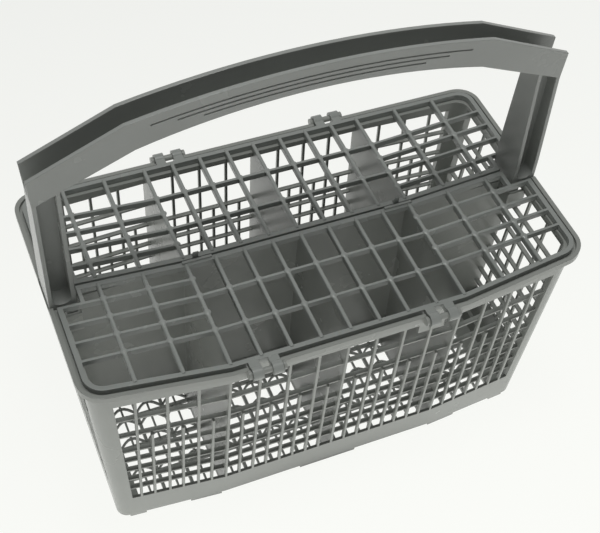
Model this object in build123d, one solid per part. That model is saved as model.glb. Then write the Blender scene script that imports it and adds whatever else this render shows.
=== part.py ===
# Cutlery basket for a dishwasher: a lattice basket with eight compartments, two hinged grid lids and a bow handle.
# Millimetres. X runs along the basket, Y from front to rear, Z up. The feet stand on Z = 0.
import os

from build123d import *

# Driving sizes of the basket and its lids
LID_Z = 116.0              # height of the lids' top face over the flat middle part
RIM_HALF_LENGTH = 119.3
RIM_HALF_DEPTH = 64.7
MIDDLE_SHARE = 0.4644      # share of the length in the middle part, past which the top rises and the sides draw in
END_RISE = 5.3             # how far the top has risen at the ends of the rim
END_NARROWING = 5.1        # how far each long side has drawn in at the ends of the rim

# Rim around the lids
RIM_CORNER_R = 11.5
RIM_WALL = 2.0
RIM_DROP = 1.2             # top of the rim below the top of the lids
LEDGE_DROP = 3.2           # seat of the lids below their top
LEDGE_T = 1.4              # thickness of that seat

# Walls, with their draft
END_OVERHANG = 2.8         # rim beyond an end wall at the top
SIDE_OVERHANG = 3.6        # rim beyond a long wall at the top
END_DRAW = 8.3             # how far an end wall has drawn in at its foot
SIDE_DRAW = 5.0            # how far a long wall has drawn in at its foot
WALL_CORNER_R_TOP = 9.0
WALL_CORNER_R_FOOT = 5.5
RIB_DEPTH = 1.4            # thickness of the walls and of their upright ribs
BAR_DEPTH = 2.2            # how far the cross bars stand in behind the ribs
FOOT_HEIGHT = 2.5

# Lattice of the walls
MIDDLE_COLUMNS = 4         # columns of a long wall and of a lid, on either side of the middle
SIDE_COLUMNS = 4           # columns of a long wall beyond the middle part, the last one cut short
END_COLUMNS = 3            # columns of an end wall on either side of its middle
RIB_WIDTH = 1.25
BAR_HEIGHT = 1.0
LATTICE_TOP = 13.1         # top of the front wall's lattice below the lids
REAR_LATTICE_TOP = 8.4     # the same for the rear wall
END_LATTICE_TOP = 10.0     # the same for the end walls
REAR_LIFT = 6.8            # cross bars of the rear and end walls above those of the front wall
BASE_BAND = 14.9           # height of the plain band below the lattice
SIDE_LATTICE_INSET = 12.5  # end of a long wall's lattice from the end of the rim
END_LATTICE_INSET = 11.6   # end of an end wall's lattice from the side of the rim
WIDE_ROWS = 2
CLOSE_ROWS = 5
TOP_ROW_SHARE = 1.086      # height of the top row, in wide rows
CLOSE_ROW_SHARE = 0.645    # height of a close row, in wide rows
LAST_ROW_SHARE = 0.482     # height of the last row, in wide rows
ROW_SLOPE_SHARE = 0.5      # slope of the rows beyond the middle part, in slopes of the top
BORDER_LEAN_SHARE = 0.75   # lean of a long wall's lattice border, in drafts of the end wall

# Floor and inner walls
FLOOR_T = 2.0
FLOOR_BAR = 1.6
FLOOR_COLUMNS = 7          # floor slots on either side of the middle, along X
FLOOR_ROWS = 3             # floor slots on either side of the middle, along Y
FLOOR_MARGIN = 4.0         # plain floor along the long walls
DIVIDER_T = 1.3
CENTRE_WALL_T = 1.5
CENTRE_WALL_GAP = 25.0     # below the centre wall, down to the underside of the floor
DIVIDER_GAP = 0.3          # tops of the inner walls below the lids' undersides

# Feet
MIDDLE_FOOT = 30.0
SIDE_FOOT = 15.5
CORNER_FOOT = 8.0
SIDE_FOOT_OFFSET = 9.35    # middle of a side foot beyond the middle part
FOOT_DEPTH = 3.8
FOOT_INSET = 0.4

# Lids
LID_T = 2.9
LID_RIM_GAP = 1.4
LID_GAP = 1.2              # between the two lids
LID_CORNER_R = 8.5
OUTER_FRAME = 2.2
INNER_FRAME = 2.4
GRID_BAR = 1.8             # width of the lids' bars along Y
ROW_BAR = 1.2              # width of the lids' bars along X
FIRST_ROW_Y = 0.8          # line from which the rows count
LAST_ROW = 6               # half rows from that line to the outer frame
MIDDLE_ROWS = (0, 2, 4, 6)  # row bars of the middle part, counted in half rows
END_ROWS = (0, 1, 2, 3, 4, 6)
END_BARS = 2               # cross bars of each end part
NOTCH_CLEARANCE = 1.5      # between the handle's arm and the lid's notch, along X
NIB_INSET = 5.4            # nibs and lips inside the ends of the middle part
NIB_WIDTH = 2.6
NIB_HEIGHT = 4.0
LIP_LENGTH = 14.0
LIP_HEIGHT = 1.0

# Hinges
HINGE_COLUMN = 3           # column line of the hinges
PIN_OVERHANG = 1.5         # pin axis beyond the rim
PIN_DROP = 2.0
PIN_R = 1.5
PIN_CLEARANCE = 0.25
HOOK_R = 3.0
HOOK_WIDTH = 4.6
HOOK_GAP = 4.4
HOOK_MOUTH = 2.7
HINGE_CLEARANCE = 0.4
LUG_T = 1.3
LUG_R = 2.1
TAB_DROP = 8.0             # tab with a hole below the front right hinge
TAB_WIDTH = 13.0
TAB_HOLE_R = 1.6

# Handle: a channel open at the top, bent down at both ends, on two arms of H section
HANDLE_TOP = 104.3         # top of the bow above the lids
HANDLE_WIDTH = 13.0
HANDLE_OVERHANG = 0.4      # ends of the bow beyond the rim
PLATE_T = 1.8
PLATE_HEIGHT = 12.0        # height of the bow's plates in the middle
TOP_BEND = 39.9            # length of the straight end along the top edge
TOP_SAG = 8.0              # fall of the top edge from its middle to the bend
TOP_FALL = 17.9            # fall of the top edge from the bend to the end
UNDER_BEND = 43.7          # the same three sizes for the lower edge
UNDER_SAG = 9.6
UNDER_FALL = 18.3
GROOVES = 3
GROOVE_WIDTH = 0.7
GROOVE_DEPTH = 0.45
GROOVE_DROP = 4.2          # first groove below the top edge
GROOVE_PITCH = 2.2
GROOVE_INSET = 10.3        # ends of the first groove inside the bends
GROOVE_STEP = 10.8         # how much further in the ends of each next groove are
ARM_INSET = 0.5            # arms inside the ends of the rim
ARM_LENGTH = 11.8
FLANGE_T = 1.8
WEB_T = 1.8
ARM_FOOT_WIDTH = 17.4
ARM_FLARE_Z = 15.0         # height above the lids below which the arm keeps its full width
RECESS_Z = 4.5             # bottom of the arm's recess above the lids
RECESS_R = 3.6
TONGUE_DROP = 13.0         # the arm's tongue reaches this far below the lids
SOCKET_WALL = 1.3
SOCKET_CLEARANCE = 0.2
SOCKET_HEIGHT = 10.0
BARB_HEIGHT = 3.0
BARB_WIDTH = 6.0
BARB_REACH = 1.0

# Values worked out from the sizes above
KINK_X = MIDDLE_SHARE * RIM_HALF_LENGTH
COLUMN = KINK_X / MIDDLE_COLUMNS
TAPER = END_NARROWING / (RIM_HALF_LENGTH - KINK_X)
SLOPE = END_RISE / (RIM_HALF_LENGTH - KINK_X)
WALL_T = RIB_DEPTH + BAR_DEPTH
WALL_HALF_LENGTH = RIM_HALF_LENGTH - END_OVERHANG
WALL_HALF_DEPTH = RIM_HALF_DEPTH - SIDE_OVERHANG
WALL_HEIGHT = LID_Z - FOOT_HEIGHT
END_DRAFT = END_DRAW / WALL_HEIGHT
SIDE_DRAFT = SIDE_DRAW / WALL_HEIGHT
CORNER_DRAFT = (WALL_CORNER_R_TOP - WALL_CORNER_R_FOOT) / WALL_HEIGHT
CLOSE_SHARES = [CLOSE_ROW_SHARE] * (CLOSE_ROWS - 1) + [LAST_ROW_SHARE]
ROW_SHARES = [TOP_ROW_SHARE] + [1] * WIDE_ROWS + CLOSE_SHARES
WIDE_ROW = (WALL_HEIGHT - LATTICE_TOP - BASE_BAND) / sum(ROW_SHARES)
COLLAR_DROP = LEDGE_DROP + LEDGE_T
LID_HALF_LENGTH = RIM_HALF_LENGTH - RIM_WALL - LID_RIM_GAP
LID_HALF_DEPTH = RIM_HALF_DEPTH - RIM_WALL - LID_RIM_GAP
LID_END_COLUMN = (LID_HALF_LENGTH - KINK_X) / (END_BARS + 1)
HALF_ROW = (LID_HALF_DEPTH - OUTER_FRAME / 2 - FIRST_ROW_Y) / LAST_ROW
NIB_X = KINK_X - NIB_INSET
HINGE_X = HINGE_COLUMN * COLUMN
HINGE_HALF = HOOK_GAP / 2 + HOOK_WIDTH + HINGE_CLEARANCE
PIN_Y = RIM_HALF_DEPTH + PIN_OVERHANG
HANDLE_HALF_LENGTH = RIM_HALF_LENGTH + HANDLE_OVERHANG
TOP_KINK_X = HANDLE_HALF_LENGTH - TOP_BEND
TOP_KINK_Z = HANDLE_TOP - TOP_SAG
TOP_END_Z = TOP_KINK_Z - TOP_FALL
HANDLE_UNDERSIDE = HANDLE_TOP - PLATE_HEIGHT
UNDER_KINK_X = HANDLE_HALF_LENGTH - UNDER_BEND
UNDER_KINK_Z = HANDLE_UNDERSIDE - UNDER_SAG
UNDER_END_Z = UNDER_KINK_Z - UNDER_FALL
ARM_OUTER_X = RIM_HALF_LENGTH - ARM_INSET
ARM_INNER_X = ARM_OUTER_X - ARM_LENGTH
NOTCH_X = ARM_INNER_X - NOTCH_CLEARANCE
TONGUE_OUTER_X = WALL_HALF_LENGTH - END_DRAFT * TONGUE_DROP - WALL_T - SOCKET_CLEARANCE
REACH = 2 * RIM_HALF_LENGTH    # larger than the part, for cutters
ABOVE = 2 * END_RISE           # how far the walls are drawn past the lids before they are trimmed


def rise(x):
    """Height of the top at x over its height in the middle part."""
    return SLOPE * max(abs(x) - KINK_X, 0)


def outline(half_length, half_depth, corner_radius):
    """Plan outline: straight in the middle part, drawn in towards the ends, with rounded corners."""
    end_depth = half_depth - TAPER * (half_length - KINK_X)
    quarter = [(half_length, end_depth), (KINK_X, half_depth)]
    points = quarter + [(-x, y) for x, y in reversed(quarter)]
    points += [(-x, -y) for x, y in quarter] + [(x, -y) for x, y in reversed(quarter)]
    face = make_face(Polyline(*points, close=True))
    corners = face.vertices().filter_by(lambda v: abs(v.X) > (half_length + KINK_X) / 2)
    return fillet(corners, corner_radius)


def wall_section(z, inset):
    """Outline of the walls at height z, moved in by the inset."""
    up = z - LID_Z
    half_length = WALL_HALF_LENGTH + END_DRAFT * up - inset
    half_depth = WALL_HALF_DEPTH + SIDE_DRAFT * up - inset
    radius = WALL_CORNER_R_TOP + CORNER_DRAFT * up - inset / 2
    return Pos(0, 0, z) * outline(half_length, half_depth, radius)


def walls_block(z_low, inset):
    """Solid inside the walls' outline from z_low to above the lids."""
    return loft([wall_section(z_low, inset), wall_section(LID_Z + ABOVE, inset)], ruled=True)


def band(drop_top, drop_bottom):
    """Layer that follows the top's side view, between two depths below the lids' top."""
    xs = (-REACH, -KINK_X, KINK_X, REACH)
    upper = [(x, LID_Z + rise(x) - drop_top) for x in xs]
    lower = [(x, LID_Z + rise(x) - drop_bottom) for x in reversed(xs)]
    face = Plane.XZ * make_face(Polyline(*upper, *lower, close=True))
    return extrude(face, REACH, both=True)


def upright(face, drop=LID_Z):
    """Plan face drawn up from a depth below the lids to well above them."""
    return extrude(Pos(0, 0, LID_Z - drop) * face, drop + ABOVE)


def block(x0, x1, y0, y1, z0, z1):
    """Block between two corners."""
    size = (x1 - x0, y1 - y0, z1 - z0)
    return Pos((x0 + x1) / 2, (y0 + y1) / 2, (z0 + z1) / 2) * Box(*size)


def left_and_right(shape):
    """A shape and its mirror image at the other end."""
    return [shape, mirror(shape, Plane.YZ)]


def front_and_rear(shape):
    """A shape and its mirror image on the other side."""
    return [shape, mirror(shape, Plane.XZ)]


def lattice_rows(top=LATTICE_TOP, lift=0.0):
    """Depths below the lids of the lattice's top, its cross bars and its bottom, with the bars and bottom lifted."""
    depths = [LATTICE_TOP + WIDE_ROW * sum(ROW_SHARES[: i + 1]) for i in range(len(ROW_SHARES))]
    return [top] + [depth - lift for depth in depths]


def lattice_cutters(plane, ribs, rows, slope=0.0, lean=0.0):
    """Slots of one flat stretch of wall, on the plane between its ribs and its bars.

    The first and the last rib are the stretch's borders. Upright slots go through the wall from outside as far as
    the plane. The layer behind it is cut away from below the lids' seat to above the floor, all but the cross bars,
    so the wall is thin and bars stand in behind its ribs. The slope lifts the rows along the wall, and the lean
    draws the far border in towards the foot.
    """
    half = RIB_WIDTH / 2

    def lean_in(x, drop):
        return x - lean * (drop - rows[0]) if x > ribs[-2] + half else x

    def cell(x0, x1, top, bottom):
        corners = ((x0, bottom), (x1, bottom), (x1, top), (x0, top))
        points = [(lean_in(x, drop), slope * x - drop) for x, drop in corners]
        return plane * make_face(Polyline(*points, close=True))

    cutters = []
    for near, far in zip(ribs, ribs[1:]):
        slot = cell(near + half, far - half, rows[0], rows[-1])
        cutters.append(extrude(slot, RIB_DEPTH + WALL_T))
    tops = [COLLAR_DROP + LEDGE_T] + [row + BAR_HEIGHT / 2 for row in rows[1:-1]]
    bottoms = [row - BAR_HEIGHT / 2 for row in rows[1:-1]] + [WALL_HEIGHT - 2 * FLOOR_T]
    for top, bottom in zip(tops, bottoms):
        slot = cell(ribs[0] + half, ribs[-1] - half, top, bottom)
        cutters.append(extrude(slot, -(BAR_DEPTH + WALL_T)))
    return cutters


def wall_lattices():
    """Slots of all four walls."""
    y = WALL_HALF_DEPTH - RIB_DEPTH
    front = Plane(origin=(0, -y, LID_Z), x_dir=(1, 0, 0), z_dir=(0, -1, -SIDE_DRAFT))
    side = Plane(origin=(KINK_X, -y, LID_Z), x_dir=(1, TAPER, 0), z_dir=(TAPER, -1, -SIDE_DRAFT))
    end_z = LID_Z + rise(WALL_HALF_LENGTH)
    end_x = WALL_HALF_LENGTH + END_DRAFT * (end_z - LID_Z) - RIB_DEPTH
    end = Plane(origin=(end_x, 0, end_z), x_dir=(0, 1, 0), z_dir=(1, 0, -END_DRAFT))
    end_column = (RIM_HALF_DEPTH - END_NARROWING - END_LATTICE_INSET) / END_COLUMNS

    front_ribs = [COLUMN * i for i in range(-MIDDLE_COLUMNS, MIDDLE_COLUMNS + 1)]
    side_ribs = [COLUMN * i for i in range(SIDE_COLUMNS)] + [RIM_HALF_LENGTH - SIDE_LATTICE_INSET - KINK_X]
    end_ribs = [end_column * i for i in range(-END_COLUMNS, END_COLUMNS + 1)]
    cutters = []
    for rows in (lattice_rows(), lattice_rows(REAR_LATTICE_TOP, REAR_LIFT)):
        slots = lattice_cutters(front, front_ribs, rows)
        for slot in lattice_cutters(side, side_ribs, rows, ROW_SLOPE_SHARE * SLOPE, BORDER_LEAN_SHARE * END_DRAFT):
            slots += left_and_right(slot)
        cutters += [mirror(slot, Plane.XZ) for slot in slots] if cutters else slots
    for slot in lattice_cutters(end, end_ribs, lattice_rows(END_LATTICE_TOP, REAR_LIFT)):
        cutters += left_and_right(slot)
    return cutters


def floor_cutters():
    """Floor slots in columns and rows, with a bar left under each inner wall."""
    half_bar = FLOOR_BAR / 2
    row = (WALL_HALF_DEPTH - SIDE_DRAW - FLOOR_MARGIN) / FLOOR_ROWS
    cutters = []
    for i in range(FLOOR_COLUMNS):
        for j in range(FLOOR_ROWS):
            x0, x1 = COLUMN * i + half_bar, COLUMN * (i + 1) - half_bar
            y0, y1 = row * j + half_bar, row * (j + 1) - half_bar
            slot = block(x0, x1, y0, y1, 0, FOOT_HEIGHT + 2 * FLOOR_T)
            for turned in left_and_right(slot):
                cutters += front_and_rear(turned)
    return cutters


def collar():
    """Rim block around the lids' seat."""
    return upright(outline(RIM_HALF_LENGTH, RIM_HALF_DEPTH, RIM_CORNER_R)) & band(RIM_DROP, COLLAR_DROP)


def lug_profile():
    """Lug in the YZ plane for the front rim: a round eye on a root that runs back into the rim."""
    eye = Pos(-PIN_Y, LID_Z - PIN_DROP) * Circle(LUG_R)
    root_y = RIM_HALF_DEPTH - RIM_WALL / 2
    root_z = (LID_Z - COLLAR_DROP + LID_Z - RIM_DROP) / 2
    root = Pos(-(root_y + PIN_Y) / 2, root_z) * Rectangle(PIN_Y - root_y, COLLAR_DROP - RIM_DROP)
    return eye + root


def hinge_seats():
    """Pins with their lugs for the front rim, left and right."""
    lug = Plane.YZ * lug_profile()
    shapes = []
    for x in (-HINGE_X, HINGE_X):
        shapes.append(Pos(x - HINGE_HALF - LUG_T, 0, 0) * extrude(lug, LUG_T))
        shapes.append(Pos(x + HINGE_HALF, 0, 0) * extrude(lug, LUG_T))
        pin = Plane.YZ * (Pos(-PIN_Y, LID_Z - PIN_DROP) * Circle(PIN_R))
        shapes.append(Pos(x, 0, 0) * extrude(pin, HINGE_HALF + LUG_T / 2, both=True))
    return shapes


def hinge_cutouts():
    """Openings in the front rim that let the lid's hooks through, left and right."""
    inner = WALL_HALF_DEPTH
    low = LID_Z - PIN_DROP - 2 * HOOK_R
    return [
        block(x - HINGE_HALF, x + HINGE_HALF, -PIN_Y - HOOK_R, -inner, low, LID_Z + ABOVE)
        for x in (-HINGE_X, HINGE_X)
    ]


def socket_room():
    """Room for the right tongue: half width in Y, inner face in X and floor in Z."""
    half = ARM_FOOT_WIDTH / 2 + SOCKET_CLEARANCE
    return half, ARM_INNER_X - SOCKET_CLEARANCE, LID_Z - TONGUE_DROP


def inner_walls():
    """Centre wall along X, ending at the sockets, and cross dividers at the middle and at the kinks."""
    top = LID_Z - LID_T - DIVIDER_GAP
    half = CENTRE_WALL_T / 2
    room, room_x, room_z = socket_room()
    centre = block(-REACH, REACH, -half, half, FOOT_HEIGHT + CENTRE_WALL_GAP, top)
    plates = [centre - left_and_right(block(room_x - SOCKET_WALL, REACH, -room, room, room_z, LID_Z))]
    for x in (-KINK_X, 0, KINK_X):
        plates.append(block(x - DIVIDER_T / 2, x + DIVIDER_T / 2, -REACH, REACH, FOOT_HEIGHT, top))
    within = walls_block(FOOT_HEIGHT, RIB_DEPTH / 2)
    return [plate & within for plate in plates]


def feet():
    """Feet under the long walls: one in the middle, one at each side and one near each corner."""
    front = WALL_HALF_DEPTH - SIDE_DRAW - FOOT_INSET
    side_x = KINK_X + SIDE_FOOT_OFFSET
    corner_x = WALL_HALF_LENGTH - END_DRAW - WALL_CORNER_R_FOOT
    top = FOOT_HEIGHT + FLOOR_T / 2
    shapes = []
    spans = [(-MIDDLE_FOOT / 2, MIDDLE_FOOT / 2)]
    spans += [(side_x - SIDE_FOOT / 2, side_x + SIDE_FOOT / 2)]
    spans += [(corner_x - CORNER_FOOT, corner_x)]
    within = walls_block(0, FOOT_INSET)
    for x0, x1 in spans:
        y = front - TAPER * max(x1 - KINK_X, 0)
        foot = block(x0, x1, -REACH, -y + FOOT_DEPTH, 0, top) & within
        for turned in front_and_rear(foot):
            shapes += left_and_right(turned) if x0 > 0 else [turned]
    return shapes


def barb_z():
    """Height of the lower edge of the tongue's barb."""
    return LID_Z - TONGUE_DROP + SOCKET_HEIGHT / 3


def arm_sockets():
    """Sockets for the handle's tongues at the ends of the centre wall, each with a window for the barb."""
    half, inner_x, floor_z = socket_room()
    outer = half + SOCKET_WALL
    top = floor_z + SOCKET_HEIGHT
    casing = block(inner_x - SOCKET_WALL, RIM_HALF_LENGTH, -outer, outer, floor_z - SOCKET_WALL, top)
    casing -= block(inner_x, REACH, -half, half, floor_z, top)
    wide = BARB_WIDTH / 2 + SOCKET_CLEARANCE
    low = barb_z() - SOCKET_CLEARANCE
    casing -= block(0, inner_x, -wide, wide, low, low + BARB_HEIGHT + 2 * SOCKET_CLEARANCE)
    return left_and_right(casing & walls_block(FOOT_HEIGHT, RIB_DEPTH / 2))


def arm_notches():
    """Gaps in the rim's ends for the arms' outer flanges, down to the ledge."""
    half = ARM_FOOT_WIDTH / 2 + SOCKET_CLEARANCE
    gap = block(KINK_X, REACH, -half, half, 0, LID_Z + ABOVE) & band(-ABOVE, LEDGE_DROP)
    return left_and_right(gap)


def hinge_tab():
    """Tab with a round hole that hangs below the front right hinge."""
    z1 = LID_Z - LATTICE_TOP + RIB_WIDTH
    z0 = z1 - TAB_DROP
    y = -(WALL_HALF_DEPTH - SIDE_DRAFT * LATTICE_TOP)
    tab = block(HINGE_X - TAB_WIDTH / 2, HINGE_X + TAB_WIDTH / 2, y + RIB_DEPTH / 2, y + WALL_T, z0, z1)
    hole = Plane.XZ * (Pos(HINGE_X, z0 + TAB_DROP / 2) * Circle(TAB_HOLE_R))
    return tab - extrude(hole, RIM_HALF_DEPTH)


def basket():
    """The one-piece basket: walls, rim, floor, inner walls, hinge pins, sockets and feet."""
    shell = walls_block(FOOT_HEIGHT, 0) & band(LEDGE_DROP, LID_Z + ABOVE)
    shell += collar()
    seat = outline(RIM_HALF_LENGTH - RIM_WALL, RIM_HALF_DEPTH - RIM_WALL, RIM_CORNER_R - RIM_WALL)
    shell -= upright(seat) & band(-ABOVE, LEDGE_DROP)
    shell -= walls_block(FOOT_HEIGHT + FLOOR_T, WALL_T)
    cutters = wall_lattices() + floor_cutters() + arm_notches()
    for cutout in hinge_cutouts():
        cutters += front_and_rear(cutout)
    additions = inner_walls() + arm_sockets() + feet() + [hinge_tab()]
    for piece in hinge_seats():
        additions += front_and_rear(piece)
    return shell - cutters + additions


def lid_cells():
    """Openings of the front lid's grid, as plan faces.

    The middle part has rows two half pitches deep. The end parts have rows of one half pitch and a double row
    along the outer frame, whose cells follow the frame's taper and, in the corner, its round.
    """
    frame_y = LID_GAP / 2 + INNER_FRAME
    frame_x = LID_HALF_LENGTH - OUTER_FRAME
    bar = GRID_BAR / 2

    def outer_y(x):
        return LID_HALF_DEPTH - OUTER_FRAME - TAPER * max(x - KINK_X, 0)

    def row_y(number):
        return FIRST_ROW_Y + number * HALF_ROW

    def cell(x0, x1, top, bottom):
        start = row_y(top) + ROW_BAR / 2 if top else frame_y
        near, far = outer_y(x0), outer_y(x1)
        if bottom < LAST_ROW:
            near = far = row_y(bottom) - ROW_BAR / 2
        return make_face(Polyline((x0, -start), (x1, -start), (x1, -far), (x0, -near), close=True))

    cells = []
    for i in range(MIDDLE_COLUMNS):
        x0, x1 = i * COLUMN + bar, (i + 1) * COLUMN - bar
        cells += [cell(x0, x1, top, bottom) for top, bottom in zip(MIDDLE_ROWS, MIDDLE_ROWS[1:])]
    edges = [KINK_X + LID_END_COLUMN * i for i in range(END_BARS + 1)]
    ends = [x - bar for x in edges[1:]] + [frame_x]
    for x0, x1 in zip(edges, ends):
        for top, bottom in zip(END_ROWS, END_ROWS[1:]):
            short = x1 == frame_x and not top
            face = cell(x0 + bar, NOTCH_X - GRID_BAR if short else x1, top, bottom)
            if x1 == frame_x and bottom == LAST_ROW:
                corner = face.vertices().sort_by(lambda v: v.X - v.Y)[-1]
                face = fillet(corner, LID_CORNER_R - OUTER_FRAME)
            cells.append(face)
    return cells + [mirror(face, Plane.YZ) for face in cells]


def hook_profile():
    """Hook in the YZ plane for the front lid: an eye round the pin, open below, on an arm from the frame."""
    pin = Pos(-PIN_Y, LID_Z - PIN_DROP)
    root_y = LID_HALF_DEPTH - OUTER_FRAME / 2
    arm = Pos(-(root_y + PIN_Y) / 2, LID_Z - LID_T / 2) * Rectangle(PIN_Y - root_y, LID_T)
    mouth = Pos(-PIN_Y, LID_Z - PIN_DROP - HOOK_R) * Rectangle(HOOK_MOUTH, 2 * HOOK_R)
    return (pin * Circle(HOOK_R) + arm) - pin * Circle(PIN_R + PIN_CLEARANCE) - mouth


def lid_hooks():
    """Two hooks at each of the front lid's hinges."""
    hook = extrude(Plane.YZ * hook_profile(), HOOK_WIDTH)
    offsets = (HOOK_GAP / 2, -HOOK_GAP / 2 - HOOK_WIDTH)
    return [Pos(x + offset, 0, 0) * hook for x in (-HINGE_X, HINGE_X) for offset in offsets]


def plain_lid():
    """Front lid: frame, grid, notches for the arms and hinge hooks."""
    plan = outline(LID_HALF_LENGTH, LID_HALF_DEPTH, LID_CORNER_R)
    plan &= Pos(0, -LID_GAP / 2 - RIM_HALF_DEPTH / 2) * Rectangle(REACH, RIM_HALF_DEPTH)
    notch_y = FIRST_ROW_Y + HALF_ROW - ROW_BAR / 2
    notch = Pos(LID_HALF_LENGTH, 0) * Rectangle(2 * (LID_HALF_LENGTH - NOTCH_X), 2 * notch_y)
    plan = plan - lid_cells() - [notch, mirror(notch, Plane.YZ)]
    return (upright(plan, LID_T) & band(0, LID_T)) + lid_hooks()


def front_lid():
    """Front lid with two low lips on its inner edge."""
    edge = LID_GAP / 2
    half = LIP_LENGTH / 2
    low, high = LID_Z - LID_T / 2, LID_Z + LIP_HEIGHT
    lip = block(NIB_X - half, NIB_X + half, -edge - INNER_FRAME / 2, -edge, low, high)
    return plain_lid() + left_and_right(lip)


def rear_lid():
    """Rear lid: the same grid turned round, with two pointed nibs on its inner edge."""
    edge = LID_GAP / 2
    low, high = LID_Z - LID_T / 2, LID_Z + NIB_HEIGHT
    side = make_face(Polyline((edge, low), (edge, high), (edge + INNER_FRAME, low), close=True))
    nib = Pos(NIB_X, 0, 0) * extrude(Plane.YZ * side, NIB_WIDTH / 2, both=True)
    return Rot(0, 0, 180) * plain_lid() + left_and_right(nib)


def under_line(x):
    """Height above the lids of the handle's straight lower edge at its ends."""
    fall = (UNDER_KINK_Z - UNDER_END_Z) / (ARM_OUTER_X - UNDER_KINK_X)
    return UNDER_KINK_Z - fall * (x - UNDER_KINK_X)


def handle_channel():
    """Bow of the handle: two plates on a floor that follows the lower edge."""
    top = ThreePointArc((-TOP_KINK_X, TOP_KINK_Z), (0, HANDLE_TOP), (TOP_KINK_X, TOP_KINK_Z))
    tip = ((HANDLE_HALF_LENGTH, TOP_END_Z), (ARM_OUTER_X, UNDER_END_Z))
    right = Polyline((TOP_KINK_X, TOP_KINK_Z), *tip, (UNDER_KINK_X, UNDER_KINK_Z))
    under = ThreePointArc((UNDER_KINK_X, UNDER_KINK_Z), (0, HANDLE_UNDERSIDE), (-UNDER_KINK_X, UNDER_KINK_Z))
    side = make_face(top + right + under + mirror(right, Plane.YZ))
    past = HANDLE_HALF_LENGTH + PLATE_T
    high = HANDLE_TOP + PLATE_T
    half = [(UNDER_KINK_X, UNDER_KINK_Z), (past, under_line(past)), (past, high)]
    mouth = Polyline(*half, *[(-x, z) for x, z in reversed(half)])
    room = Pos(0, PLATE_T) * make_face(mouth + under)
    plates = extrude(Plane.XZ * side, HANDLE_WIDTH / 2, both=True)
    return plates - extrude(Plane.XZ * room, HANDLE_WIDTH / 2 - PLATE_T, both=True)


def grip_grooves():
    """Long fine grooves along the outer face of the front plate, each shorter than the one above it."""
    radius = (TOP_KINK_X**2 + TOP_SAG**2) / (2 * TOP_SAG)
    grooves = []
    for i in range(GROOVES):
        half = TOP_KINK_X - GROOVE_INSET - GROOVE_STEP * i
        sag = radius - (radius**2 - half**2) ** 0.5
        arcs = []
        for drop in (GROOVE_DROP + GROOVE_PITCH * i, GROOVE_DROP + GROOVE_PITCH * i + GROOVE_WIDTH):
            z = HANDLE_TOP - drop
            arcs.append(ThreePointArc((-half, z - sag), (0, z), (half, z - sag)))
        sides = [Line(arcs[0] @ end, arcs[1] @ end) for end in (0, 1)]
        face = make_face(arcs[0] + sides[1] + arcs[1] + sides[0])
        grooves.append(Pos(0, -HANDLE_WIDTH / 2, 0) * extrude(Plane.XZ * face, GROOVE_DEPTH, both=True))
    return grooves


def handle_arm():
    """Right arm of H section, flared at its foot, with the tongue that sits in the socket."""
    ledge = [(x, rise(x) - LEDGE_DROP + SOCKET_CLEARANCE) for x in (TONGUE_OUTER_X, ARM_OUTER_X)]
    head = [(x, under_line(x) + PLATE_T / 2) for x in (ARM_OUTER_X, ARM_INNER_X)]
    tongue = [(x, -TONGUE_DROP) for x in (ARM_INNER_X, TONGUE_OUTER_X)]
    side = Polyline(*tongue, *ledge, *head, close=True)
    foot, top = ARM_FOOT_WIDTH / 2, HANDLE_WIDTH / 2
    half = [(foot, -TONGUE_DROP), (foot, ARM_FLARE_Z), (top, UNDER_END_Z), (top, HANDLE_TOP)]
    front = Polyline(*half, *[(-y, z) for y, z in reversed(half)], close=True)
    arm = extrude(Plane.XZ * make_face(side), foot, both=True) & extrude(Plane.YZ * make_face(front), REACH)
    inner_x, outer_x = ARM_INNER_X + FLANGE_T, ARM_OUTER_X - FLANGE_T
    sides = [(x, z) for x in (inner_x, outer_x) for z in (RECESS_Z, under_line(x))]
    recess = make_face(Polyline(sides[0], sides[2], sides[3], sides[1], close=True))
    recess = fillet(recess.vertices().sort_by(Axis.Y)[:2], RECESS_R)
    room = Pos(0, -WEB_T / 2, 0) * extrude(Plane.XZ * recess, REACH)
    z0 = barb_z() - LID_Z
    z1 = z0 + BARB_HEIGHT
    barb = Polyline((ARM_INNER_X, z0), (ARM_INNER_X - BARB_REACH, z1), (ARM_INNER_X, z1), close=True)
    return arm - front_and_rear(room) + extrude(Plane.XZ * make_face(barb), BARB_WIDTH / 2, both=True)


def handle():
    """The one-piece handle."""
    bow = handle_channel() - grip_grooves()
    return Pos(0, 0, LID_Z) * (bow + left_and_right(handle_arm()))


os.makedirs("parts", exist_ok=True)
for name, make in (("basket", basket), ("handle", handle), ("front_lid", front_lid), ("rear_lid", rear_lid)):
    export_step(make(), f"parts/{name}.step")
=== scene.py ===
# %% [markdown]
# # Dressing a cutlery basket
# The basket, its two lids and its handle arrive as plain solids from CAD, in metres, with the feet on
# the floor. This lesson adds what moulded plastic shows from close by: the close ribs of the walls, the
# fine bars of the floor, the lip of the centre wall, the round tops of the lids' bars, and the finish
# of the grey plastic. Then it sets up floor, light and camera. We start by loading the solids and
# noting how large they are.

import bpy
import numpy as np
from mathutils import Matrix, Vector


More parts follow.
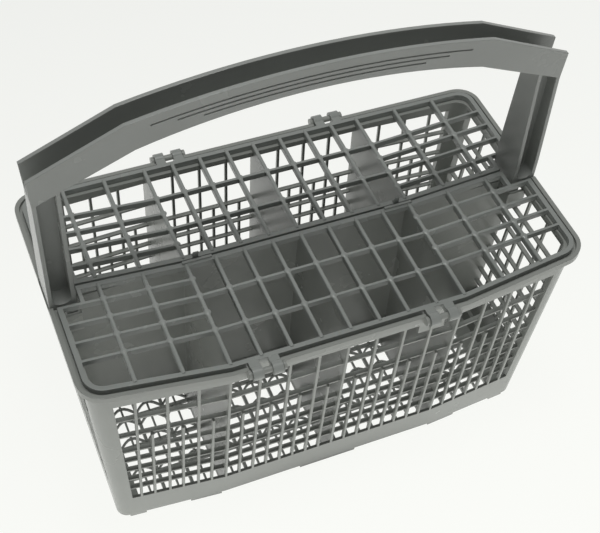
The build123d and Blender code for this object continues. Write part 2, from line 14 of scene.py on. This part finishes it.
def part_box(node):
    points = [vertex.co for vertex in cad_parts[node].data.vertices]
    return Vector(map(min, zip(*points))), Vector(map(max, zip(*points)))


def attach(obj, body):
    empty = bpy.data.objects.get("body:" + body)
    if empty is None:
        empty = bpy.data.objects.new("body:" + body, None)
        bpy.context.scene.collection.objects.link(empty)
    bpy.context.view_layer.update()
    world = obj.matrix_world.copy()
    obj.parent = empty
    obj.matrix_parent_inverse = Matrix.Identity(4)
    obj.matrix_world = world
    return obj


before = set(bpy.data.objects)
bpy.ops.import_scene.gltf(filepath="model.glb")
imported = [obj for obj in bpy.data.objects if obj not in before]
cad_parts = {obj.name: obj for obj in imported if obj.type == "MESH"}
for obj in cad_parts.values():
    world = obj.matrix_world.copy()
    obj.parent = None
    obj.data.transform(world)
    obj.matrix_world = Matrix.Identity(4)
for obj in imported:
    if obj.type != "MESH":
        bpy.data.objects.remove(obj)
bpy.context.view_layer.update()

# %% [markdown]
# # The sizes that the new pieces follow
# Each new piece has to meet a solid exactly, so its place is worked out from the same few sizes: the
# length of the rim, which we measure on the loaded basket, and the slopes of walls and top. The flat
# middle part ends at a kink; beyond it the top rises and the long walls draw in.

# %% Sizes of basket and lids
MM = 0.001
rim_half_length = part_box("basket")[1].x
lid_z = 116.0 * MM  # top of the lids over the middle part
kink_share = 0.4644  # place of the kink between the middle and the end of the rim
middle_columns, end_columns = 4, 3  # on each side of the centre, before and beyond the kink
half_columns = middle_columns + end_columns
kink_x = kink_share * rim_half_length
column = kink_x / middle_columns  # pitch of the upright ribs and of the lids' bars
end_length = rim_half_length - kink_x
end_rise, end_narrowing = 5.3 * MM, 5.1 * MM  # of the top and of one long wall, from the kink to the end
top_slope = end_rise / end_length
side_taper = end_narrowing / end_length
wall_height = 113.5 * MM
wall_half_depth = 61.1 * MM  # long walls at lid height
end_wall_inset = 2.8 * MM
wall_half_length = rim_half_length - end_wall_inset  # end walls at lid height
side_lean, end_lean = 5.0 * MM, 8.3 * MM  # how far a wall draws in over its height
side_draft = side_lean / wall_height
end_draft = end_lean / wall_height
rib_depth = 1.4 * MM  # of the solids' upright ribs


def past_kink(x):
    """How far x lies beyond the kink, and 0 inside the middle part."""
    return np.maximum(np.abs(x) - kink_x, 0.0)


def top_z(x):
    """Height of the lids' top face: level in the middle part, then rising with the way past the kink."""
    return lid_z + top_slope * past_kink(x)


def side_y(x, z):
    """Outer face of a long wall: half the depth at lid height, less taper past the kink and draft below."""
    return wall_half_depth - side_taper * past_kink(x) + side_draft * (z - lid_z)


print(f"kink at {kink_x / MM:.1f} mm, columns {column / MM:.2f} mm apart")

# %% [markdown]
# # A bar from a profile
# Ribs, floor bars, the lip and the round tops of the lids are all one thing: a small profile carried
# along a path, which is straight for most and curved for the scallops. A loop over cubes would do for
# the straight ones, but whole arrays are shorter and faster and take the curves as well: every point of
# a path gets the profile, and the faces of all bars come from one table of numbers.


# %% Bars, rounded profiles and meshes
def add_piece(name, points, tables, body, slot):
    """Make a mesh object from points and tables of faces and ride it on a body; slot, a finish's name, is
    not used.
    """
    mesh = bpy.data.meshes.new(name)
    mesh.from_pydata(points.tolist(), [], [face for table in tables for face in table.tolist()])
    piece = bpy.data.objects.new(name, mesh)
    bpy.context.scene.collection.objects.link(piece)
    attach(piece, body)
    print(f"{name}: {len(mesh.vertices)} points, {len(mesh.polygons)} faces")
    return piece


def rounded_profile(width, depth, radius, steps=3):
    """Section of a bar: square at the back, with both front corners as quarter circles, drawn anticlockwise.

    A corner's points are centre + radius * (cos t, sin t), with t from 0 to 90 degrees on the right and from
    90 to 180 degrees on the left. The front lies on 0 and the back on -depth.
    """
    t = np.linspace(0.0, np.pi / 2, steps + 1)
    right = np.stack([width / 2 - radius + radius * np.cos(t), radius * np.sin(t) - radius], axis=1)
    left = np.stack([-right[::-1, 0], right[::-1, 1]], axis=1)
    back = np.array([[-width / 2, -depth], [width / 2, -depth]])
    return np.concatenate([back, right, left])


def carried(path, front, profile):
    """Points and faces of a profile carried along paths: path point + across * u + front * v for (u, v).

    path has one row of points to a bar. Along is the way from the point before to the point after, and
    across is front x along, so the profile stays anticlockwise when it is seen from the bar's far end, and
    all faces point outwards. Each end is closed by the profile itself.
    """
    across = np.cross(front, np.gradient(path, axis=1))
    across = across / np.linalg.norm(across, axis=2, keepdims=True)
    points = path[:, :, None, :] + across[:, :, None, :] * profile[:, :1] + front * profile[:, 1:]
    count, steps = len(profile), path.shape[1]
    first = np.arange(len(path))[:, None, None] * steps * count
    ring = first + np.arange(steps - 1)[None, :, None] * count
    k = np.arange(count)
    following = (k + 1) % count
    sides = np.stack([ring + k, ring + following, ring + following + count, ring + k + count], axis=3)
    ends = np.concatenate([first[:, 0] + k[::-1], first[:, 0] + k + (steps - 1) * count])
    return points.reshape(-1, 3), [sides.reshape(-1, 4), ends]


def bars(start, end, front, profile):
    """Straight bars, one for each row of start and end: the profile carried along the line between them."""
    return carried(np.stack([start, end], axis=1), front, profile)


def join(*parts):
    """Several sets of points and faces as one, with face numbers moved on past the points before them."""
    starts = np.cumsum([0] + [len(points) for points, _ in parts])
    tables = [table + start for start, (_, part_tables) in zip(starts, parts) for table in part_tables]
    return np.concatenate([points for points, _ in parts]), tables


soft_edge = 0.3 * MM  # radius of a bar's front edges
print("a bar's profile has", len(rounded_profile(MM, MM, soft_edge)), "points")

# %% [markdown]
# # Close ribs in the lower walls
# From the second cross bar down, the real walls have an extra rib in the middle of every column, so
# that thin handles can't slip through. They are many and alike, and the solids already have the main
# ribs, so they are laid here as bars with softened front edges. Each rib starts at the second cross bar
# and ends in the plain band. The rows of the rear and end walls stand higher than those in front, and
# so do their ribs.

# %% Rows of the walls
row_shares = np.array([1.086, 1.0, 1.0, 0.645, 0.645, 0.645, 0.645, 0.482])  # row heights, in wide rows
lattice_top, base_band = 13.1 * MM, 14.9 * MM
wide_row = (wall_height - lattice_top - base_band) / row_shares.sum()
row_depths = lattice_top + wide_row * np.concatenate([[0.0], np.cumsum(row_shares)])
row_slope = 0.5 * top_slope  # past the kink the rows rise half as fast as the top
rear_lift = 6.8 * MM  # the rows of the rear and end walls stand this much higher
bar_hidden = 1.8 * MM  # the rear and end ribs stop this much lower, behind their cross bar
sink = 0.5 * MM  # how far a piece reaches into the solid that it grows from

middle_x = column * (np.arange(-middle_columns, middle_columns) + 0.5)
outer_x = kink_x + column * (np.arange(end_columns) + 0.5)
rib_x = np.concatenate([-outer_x, middle_x, outer_x])
end_rib_pitch, end_rib_columns = 16.0 * MM, 3  # columns on each side of the centre wall
end_rib_y = end_rib_pitch * (np.arange(-end_rib_columns, end_rib_columns) + 0.5)
print("cross bars", np.round(row_depths / MM, 1), "mm below the top of the front wall")

# %% Close ribs
rib_width = 1.25 * MM
bar_overlap = 0.4 * MM  # how far a rib reaches back into the cross bars
rib_profile = rounded_profile(rib_width, rib_depth + bar_overlap, soft_edge)


def rib_ends(lift, hidden):
    """Depths of a close rib's ends: the last row plus the sink, and the second bar, both less the lift."""
    return row_depths[-1] + sink - lift, row_depths[2] + hidden - lift


def long_wall_ribs(side):
    """Close ribs of one long wall; side is -1 for the front and 1 for the rear."""

    def on_face(depth):
        z = lid_z + row_slope * past_kink(rib_x) - depth
        return np.stack([rib_x, side * side_y(rib_x, z), z], axis=1)

    low, high = rib_ends(rear_lift, bar_hidden) if side > 0 else rib_ends(0.0, 0.0)
    return bars(on_face(low), on_face(high), np.array([0.0, side, 0.0]), rib_profile)


def end_wall_ribs(side):
    """Close ribs of one end wall; side is -1 for the left and 1 for the right."""
    wall_top = top_z(wall_half_length)

    def on_face(depth):
        z = wall_top - depth
        x = wall_half_length + end_draft * (z - lid_z)
        return np.stack([np.full_like(end_rib_y, side * x), end_rib_y, np.full_like(end_rib_y, z)], axis=1)

    low, high = rib_ends(rear_lift, bar_hidden)
    return bars(on_face(low), on_face(high), np.array([side, 0.0, 0.0]), rib_profile)


ribs = add_piece(
    "close_ribs",
    *join(long_wall_ribs(-1), long_wall_ribs(1), end_wall_ribs(-1), end_wall_ribs(1)),
    "basket",
    "basket_grey",
)

# %% [markdown]
# # Fine bars of the floor
# The floor is an open lattice as well. Between its main bars it has thinner ones, one in the middle of
# each column, and along each row runs a scalloped bar, with one arch to a column. A scallop is the same
# profile carried along a curved path.

# %% Floor bars and scallops
floor_top = 4.5 * MM
floor_half_depth = 52.1 * MM
floor_row = floor_half_depth / 3  # three rows in each half
fine_width, fine_depth = 1.0 * MM, 1.6 * MM
fine_bar = rounded_profile(fine_width, fine_depth, soft_edge)
fine_x = column * (np.arange(-half_columns, half_columns) + 0.5)
arch_rise = 5.0 * MM
centre_gap = 1.2 * MM  # the middle scallops keep clear of the centre wall
front_y = [-2 * floor_row, -floor_row, -arch_rise - centre_gap]
rear_y = [centre_gap, floor_row, 2 * floor_row]
up = np.array([0.0, 0.0, 1.0])


def scallops(rows, steps_per_arch=8):
    """Scalloped bars along X: y = row + rise * |sin(pi * x / column)|, so that each column has one arch."""
    x = column * np.linspace(-half_columns, half_columns, 2 * half_columns * steps_per_arch + 1)
    y = rows[:, None] + arch_rise * np.abs(np.sin(np.pi * x / column))
    path = np.stack([np.broadcast_to(x, y.shape), y, np.full_like(y, floor_top)], axis=2)
    return carried(path, up, fine_bar)


at_rear = np.broadcast_to([floor_half_depth, floor_top], (len(fine_x), 2))
rear_ends = np.column_stack([fine_x, at_rear])
along_y = bars(rear_ends * [1, -1, 1], rear_ends, up, fine_bar)
floor_lattice = add_piece(
    "floor_lattice", *join(along_y, scallops(np.array(front_y + rear_y))), "basket", "basket_grey"
)

# %% [markdown]
# # Lower edge of the centre wall
# The centre wall stops short of the floor, so that water runs between the two halves. Its last few
# millimetres are a plain lip with a softened lower edge: one bar from end to end, with its round side
# down.

# %% Lip of the centre wall
wall_edge_z = 27.5 * MM  # lower edge of the solid centre wall
lip_width, lip_height, lip_edge = 1.5 * MM, 3.2 * MM, 0.4 * MM
lip_z = wall_edge_z - lip_height
lip_end = wall_half_length + end_draft * (lip_z - lid_z) - rib_depth
lip_line = np.array([[-lip_end, 0.0, lip_z]])
lip_profile = rounded_profile(lip_width, lip_height + sink, lip_edge)
lip_bar = bars(lip_line, lip_line * [-1, 1, 1], -up, lip_profile)
centre_lip = add_piece("centre_wall_lip", *lip_bar, "basket", "basket_grey")

# %% [markdown]
# # Round tops on the lids' bars
# The lids' bars along the depth have round tops and stand a little above the rows, with a small round
# boss at each crossing. A half ellipse along each bar gives the first, and a cap of an ellipsoid the
# second. Both sit on the flat bars of the solids and move with their lid.


# %% Shapes of crowns and bosses
def half_ellipse(width, height, steps=8):
    """Section of a crown: (width / 2 cos t, height sin t), t from 0 to 180 degrees, on a flat back."""
    t = np.linspace(0.0, np.pi, steps + 1)
    arc = np.stack([width / 2 * np.cos(t), height * np.sin(t)], axis=1)
    back = np.array([[-width / 2, -height / 2], [width / 2, -height / 2]])
    return np.concatenate([back, arc])


def caps(centres, radius, height, around=12, up_steps=4):
    """Caps: centre + (radius cos p cos t, radius cos p sin t, height sin p), with p from 0 to 90 degrees."""
    t = np.linspace(0.0, 2 * np.pi, around, endpoint=False)
    p = np.linspace(0.0, np.pi / 2, up_steps + 1)[:-1, None]
    flat = radius * np.cos(p)
    shell = np.stack([flat * np.cos(t), flat * np.sin(t), height * np.sin(p) + 0 * t], axis=2)
    local = np.concatenate([shell.reshape(-1, 3), [[0.0, 0.0, height]]])
    first = np.arange(len(centres))[:, None, None] * len(local)
    i, k = np.arange(up_steps - 1)[:, None] * around, np.arange(around)[None, :]
    k_next = (k + 1) % around
    quads = np.stack([i + k, i + k_next, i + around + k_next, i + around + k], axis=2).reshape(-1, 4)
    ring = np.arange(around) + (up_steps - 1) * around
    fans = np.stack([ring, np.roll(ring, -1), np.full(around, len(local) - 1)], axis=1)
    points = centres[:, None, :] + local
    return points.reshape(-1, 3), [(first + quads).reshape(-1, 4), (first + fans).reshape(-1, 3)]


crown_width, crown_height = 1.7 * MM, 0.5 * MM
crown = half_ellipse(crown_width, crown_height)
print("a crown's profile has", len(crown), "points")

# %% Crowns and bosses
lid_half_depth, inner_edge = 61.3 * MM, 1.8 * MM
lid_end_inset = 3.4 * MM
lid_half_length = rim_half_length - lid_end_inset
end_column = (lid_half_length - kink_x) / end_columns
first_row = 0.8 * MM
last_row_inset = 1.1 * MM  # from the lid's outer edge
half_row = (lid_half_depth - last_row_inset - first_row) / 6  # three rows to a lid
crown_inset = 1.4 * MM  # the crowns stop this far inside the lid's outer edge
boss_radius, boss_height = 1.7 * MM, 0.75 * MM
middle_boss_rows, end_boss_rows = (2, 4), (1, 2, 3, 4)  # counted in half rows


def lid_tops(side):
    """Crowns and bosses of one lid; side is -1 for the front lid and 1 for the rear lid."""
    inner_x = column * np.arange(1 - middle_columns, middle_columns)
    wide_x = np.concatenate([s * (kink_x + end_column * np.arange(end_columns)) for s in (-1, 1)])
    x = np.concatenate([inner_x, wide_x])
    outer_y = lid_half_depth - crown_inset - side_taper * past_kink(x)
    near = np.stack([x, np.full_like(x, side * inner_edge), top_z(x)], axis=1)
    far = np.stack([x, side * outer_y, top_z(x)], axis=1)
    crowns = bars(near, far, up, crown)

    def crossings(columns, rows):
        cx, cy = np.meshgrid(columns, side * (first_row + half_row * np.array(rows)))
        return np.stack([cx.ravel(), cy.ravel(), top_z(cx.ravel())], axis=1)

    places = np.concatenate([crossings(inner_x, middle_boss_rows), crossings(wide_x, end_boss_rows)])
    return join(crowns, caps(places, boss_radius, boss_height))


front_tops = add_piece("front_lid_tops", *lid_tops(-1), "front_lid", "lid_grey")
rear_tops = add_piece("rear_lid_tops", *lid_tops(1), "rear_lid", "lid_grey")

# %% [markdown]
# # Arithmetic on shader sockets
# A finish is a small calculation: noise times a number, plus another number. Written as nodes by hand
# it fills a page, so one class wraps a socket and lets Python's own operators add the Math nodes.


# %% Sockets that calculate
class Wire:
    """A shader socket that takes part in arithmetic; each operator adds one Math node."""

    def __init__(self, tree, socket=None):
        self.tree, self.socket = tree, socket

    def node(self, kind, settings=None, inputs=None, output=0):
        """Add a node: first its settings, then its sockets' values or links. Gives one output as a Wire."""
        made = self.tree.nodes.new(kind)
        for key, value in (settings or {}).items():
            setattr(made, key, value)
        for key, value in (inputs or {}).items():
            socket = next(s for i, s in enumerate(made.inputs) if key in (i, s.identifier, s.name))
            if isinstance(value, Wire):
                self.tree.links.new(value.socket, socket)
            else:
                socket.default_value = value
        given = [s for i, s in enumerate(made.outputs) if output in (i, s.identifier, s.name)]
        return Wire(self.tree, given[0] if given else None)

    def math(self, operation, a, b):
        return self.node("ShaderNodeMath", {"operation": operation}, {0: a, 1: b})

    def __add__(self, other):
        return self.math("ADD", self, other)

    def __sub__(self, other):
        return self.math("SUBTRACT", self, other)

    def __rsub__(self, other):
        return self.math("SUBTRACT", other, self)

    def __mul__(self, other):
        return self.math("MULTIPLY", self, other)

    __radd__ = __add__
    __rmul__ = __mul__


def new_material(name):
    """An empty node material and a Wire on its tree."""
    material = bpy.data.materials.new(name)
    material.use_nodes = True
    material.node_tree.nodes.clear()
    return material, Wire(material.node_tree)


def linear(*srgb):
    """A colour given as 0 to 255 on the screen, as the linear values that shaders use, with alpha.

    With c from 0 to 1, small values are c / 12.92 and all others ((c + 0.055) / 1.055) to the power 2.4.
    """
    c = np.array(srgb) / 255
    return tuple(np.where(c <= 0.04045, c / 12.92, ((c + 0.055) / 1.055) ** 2.4)) + (1.0,)


def mixed(tree, share, none, full):
    """A colour between two others: none where the share is 0 and full where it is 1."""
    ends = {"Factor": share, "A_Color": none, "B_Color": full}
    return tree.node("ShaderNodeMix", {"data_type": "RGBA"}, ends, "Result_Color")


print("mid grey on screen is", round(float(linear(150, 150, 150)[0]), 3), "in the shader")

# %% [markdown]
# # Grey plastic
# All pieces are moulded from much the same grey polypropylene: smooth, with a soft gloss, a slight
# cloudiness, a fine grain from the mould, and edges that are a little round. Rounding every edge of the
# solids would cost many faces, so a Bevel node bends the shading normal near edges instead, and the same
# bend tells where an edge is; there a painted highlight makes the edges paler.

# %% Plastic finish
edge_radius = 0.45 * MM
edge_gain = 3.0  # how soon a bend counts as an edge
edge_highlight_share = 0.45  # how much of the painted edge highlight's tone an edge gets
cloud_tone, edge_highlight_tone = 7, 18  # lighter or darker than the plain tone, in screen levels; the second is the painted edge highlight
least_roughness, cloud_roughness = 0.2, 0.12


def plastic(name, tone, cloud_seed):
    """Grey plastic: cloudy base colour, a painted highlight that makes edges paler, uneven gloss and a fine
    grain.

    An edge is where the rounded normal and the flat one part: gain * (1 - their dot product), from 0 to 1.
    """
    material, sheet = new_material(name)
    place = sheet.node("ShaderNodeTexCoord", output="Object")
    moved = sheet.node("ShaderNodeMapping", inputs={"Vector": place, "Location": (cloud_seed, 0.0, 0.0)})
    clouds = sheet.node("ShaderNodeTexNoise", inputs={"Vector": moved, "Scale": 38.0, "Detail": 4.0})
    grain = sheet.node("ShaderNodeTexNoise", inputs={"Vector": moved, "Scale": 2400.0, "Detail": 2.0})
    soft = sheet.node("ShaderNodeBevel", {"samples": 6}, {"Radius": edge_radius})
    flat = sheet.node("ShaderNodeNewGeometry", output="Normal")
    agree = sheet.node(
        "ShaderNodeVectorMath", {"operation": "DOT_PRODUCT"}, {0: soft, 1: flat}, output="Value"
    )
    edge = sheet.node("ShaderNodeClamp", inputs={"Value": (1 - agree) * edge_gain})
    body = mixed(sheet, clouds, linear(*(tone - cloud_tone)), linear(*(tone + cloud_tone)))
    # painted highlight: the base colour turns paler on edges, as if they caught the light
    highlighted_colour = mixed(sheet, edge * edge_highlight_share, body, linear(*(tone + edge_highlight_tone)))
    bump = sheet.node(
        "ShaderNodeBump", inputs={"Strength": 0.12, "Distance": 0.1 * MM, "Height": grain, "Normal": soft}
    )
    roughness = least_roughness + cloud_roughness * clouds
    shader = sheet.node(
        "ShaderNodeBsdfPrincipled",
        inputs={"Base Color": highlighted_colour, "Roughness": roughness, "Normal": bump, "IOR": 1.5},
    )
    sheet.node("ShaderNodeOutputMaterial", inputs={"Surface": shader})
    return material


basket_grey = plastic("basket_grey", np.array([139, 142, 137]), 0.0)
lid_grey = plastic("lid_grey", np.array([139, 143, 139]), 0.7)
handle_grey = plastic("handle_grey", np.array([142, 145, 141]), 1.9)
finishes = {
    basket_grey: [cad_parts["basket"], ribs, floor_lattice, centre_lip],
    lid_grey: [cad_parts["front_lid"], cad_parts["rear_lid"], front_tops, rear_tops],
    handle_grey: [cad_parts["handle"]],
}
for material, pieces in finishes.items():
    for piece in pieces:
        piece.data.materials.clear()
        piece.data.materials.append(material)
    print(material.name, "on", [piece.name for piece in pieces])

# %% [markdown]
# # Floor
# The photograph looks as if it was taken on a light table: the ground is almost white, walls are
# brightest near it, and all that looks up is dark. So the floor is one large sheet that will glow, and
# first we make the sheet itself.

# %% Floor sheet
floor_half = 4.0
corners = floor_half * np.array([[-1, -1, 0], [1, -1, 0], [1, 1, 0], [-1, 1, 0]])
floor_mesh = bpy.data.meshes.new("floor")
floor_mesh.from_pydata(corners.tolist(), [], [(0, 1, 2, 3)])
floor = bpy.data.objects.new("floor", floor_mesh)
bpy.context.scene.collection.objects.link(floor)
print("floor", 2 * floor_half, "m wide")

# %% [markdown]
# # Glow of the floor
# What the sheet gives to the plastic and what it shows are kept apart. Most of the light for the
# plastic comes from an oval field around the basket, dimmed right under it so that the compartments
# stay dark. Rays that show the background, from the camera or by way of a gloss or a clear piece, see a
# sheet that is about white, a little greyer far away, with a small share of plain matt white that keeps
# some of the shadow.


# %% Light table
def background_rays(tree):
    """1 for rays that show the background: straight from the camera, or by way of gloss or a clear piece."""
    kinds = ["Is Camera Ray", "Is Glossy Ray", "Is Transmission Ray"]
    camera_ray, glossy_ray, clear_ray = (tree.node("ShaderNodeLightPath", output=kind) for kind in kinds)
    return camera_ray + glossy_ray + clear_ray


def oval_distance(tree, place, half_x, half_y):
    """Way from the middle, where 1 is on the oval's edge: the length of (x / half_x, y / half_y)."""
    factors = (1 / half_x, 1 / half_y, 0.0)
    shares = tree.node("ShaderNodeVectorMath", {"operation": "MULTIPLY"}, {0: place, 1: factors})
    return tree.node("ShaderNodeVectorMath", {"operation": "LENGTH"}, {0: shares}, output="Value")


field_oval, basket_oval = (0.6, 0.55), (0.115, 0.062)  # half lengths and half depths, in metres
glow_strength = 1.85
shown_share = 0.95  # the rest of what is shown is matt white, which takes shadows
far_white = linear(239, 240, 237)

light_table, sheet = new_material("light_table")
place = sheet.node("ShaderNodeTexCoord", output="Object")
field = sheet.node(
    "ShaderNodeMapRange",
    {"interpolation_type": "SMOOTHSTEP"},
    {
        "Value": oval_distance(sheet, place, *field_oval),
        "From Min": 0.75,
        "From Max": 1.25,
        "To Min": 1.0,
        "To Max": 0.0,
    },
)
under = oval_distance(sheet, place, *basket_oval)
open_floor = sheet.node(
    "ShaderNodeMapRange", inputs={"Value": under, "From Min": 0.9, "From Max": 1.2, "To Min": 0.05}
)
place_y = sheet.node("ShaderNodeSeparateXYZ", inputs={0: place}, output="Y")
distance = sheet.node("ShaderNodeMapRange", inputs={"Value": place_y, "From Min": -0.15, "From Max": 0.45})
white = mixed(sheet, distance, linear(254, 255, 251), far_white)
matt = sheet.node("ShaderNodeBsdfDiffuse", inputs={"Color": linear(236, 237, 234)})
lit = sheet.node("ShaderNodeEmission", inputs={"Color": (1.0, 1.0, 0.985, 1.0), "Strength": glow_strength})
shown = sheet.node("ShaderNodeEmission", inputs={"Color": white, "Strength": 1.0})
table = sheet.node("ShaderNodeMixShader", inputs={0: field * open_floor, 1: matt, 2: lit})
picture = sheet.node("ShaderNodeMixShader", inputs={0: shown_share, 1: matt, 2: shown})
surface = sheet.node("ShaderNodeMixShader", inputs={0: background_rays(sheet), 1: table, 2: picture})
sheet.node("ShaderNodeOutputMaterial", inputs={"Surface": surface})
floor_mesh.materials.append(light_table)
print("floor glows over", 2 * field_oval[0], "by", 2 * field_oval[1], "m")

# %% [markdown]
# # Lamp and sky
# One soft lamp high above gives the tops of rim, lids and handle their tone. The sky adds a weak, even
# light, and rays that show the background see it as pale as the far end of the floor, so that a view
# from the front has no horizon.

# %% Lamp and sky
lamp_place, lamp_target = Vector((-0.05, -0.04, 1.1)), Vector((0.0, 0.0, 0.1))
top_light = bpy.data.lights.new("top_lamp", "AREA")
top_light.size, top_light.energy = 0.25, 4.6  # metres and watts
top_lamp = bpy.data.objects.new("top_lamp", top_light)
top_lamp.location = lamp_place
top_lamp.rotation_euler = (lamp_target - lamp_place).to_track_quat("-Z", "Y").to_euler()
bpy.context.scene.collection.objects.link(top_lamp)

world = bpy.data.worlds.new("sky")
world.use_nodes = True
world.node_tree.nodes.clear()
sky = Wire(world.node_tree)
glow = sky.node("ShaderNodeBackground", inputs={"Color": (1.0, 1.0, 1.0, 1.0), "Strength": 0.2})
backdrop = sky.node("ShaderNodeBackground", inputs={"Color": far_white, "Strength": 1.0})
both = sky.node("ShaderNodeMixShader", inputs={0: background_rays(sky), 1: glow, 2: backdrop})
sky.node("ShaderNodeOutputWorld", inputs={"Surface": both})
bpy.context.scene.world = world
bpy.context.scene.view_settings.view_transform = "Standard"
print("lamp:", top_lamp.name, "at", top_lamp.location[:])

# %% [markdown]
# # Camera
# The camera stands where the photograph was taken from: up and to the left of the basket's front. Its
# three axes were found by matching the lids' grid, and a camera looks along its own -Z, so forward is
# turned round.

# %% Camera
camera_place = Vector((-0.15874, -0.32472, 0.52452))
camera_right = Vector((0.92317, -0.38002, 0.05786))
camera_forward = Vector((0.28407, 0.57305, -0.76871))
camera_up = camera_right.cross(camera_forward)
turn = Matrix((camera_right, camera_up, -camera_forward)).transposed()
camera_data = bpy.data.cameras.new("camera")
camera_data.sensor_fit, camera_data.sensor_width, camera_data.lens = "HORIZONTAL", 36.0, 71.0
camera_data.clip_start = 0.01
camera = bpy.data.objects.new("camera", camera_data)
camera.matrix_world = Matrix.Translation(camera_place) @ turn.to_4x4()
bpy.context.scene.collection.objects.link(camera)
bpy.context.scene.camera = camera
print("camera looks along", [round(v, 3) for v in camera_forward])
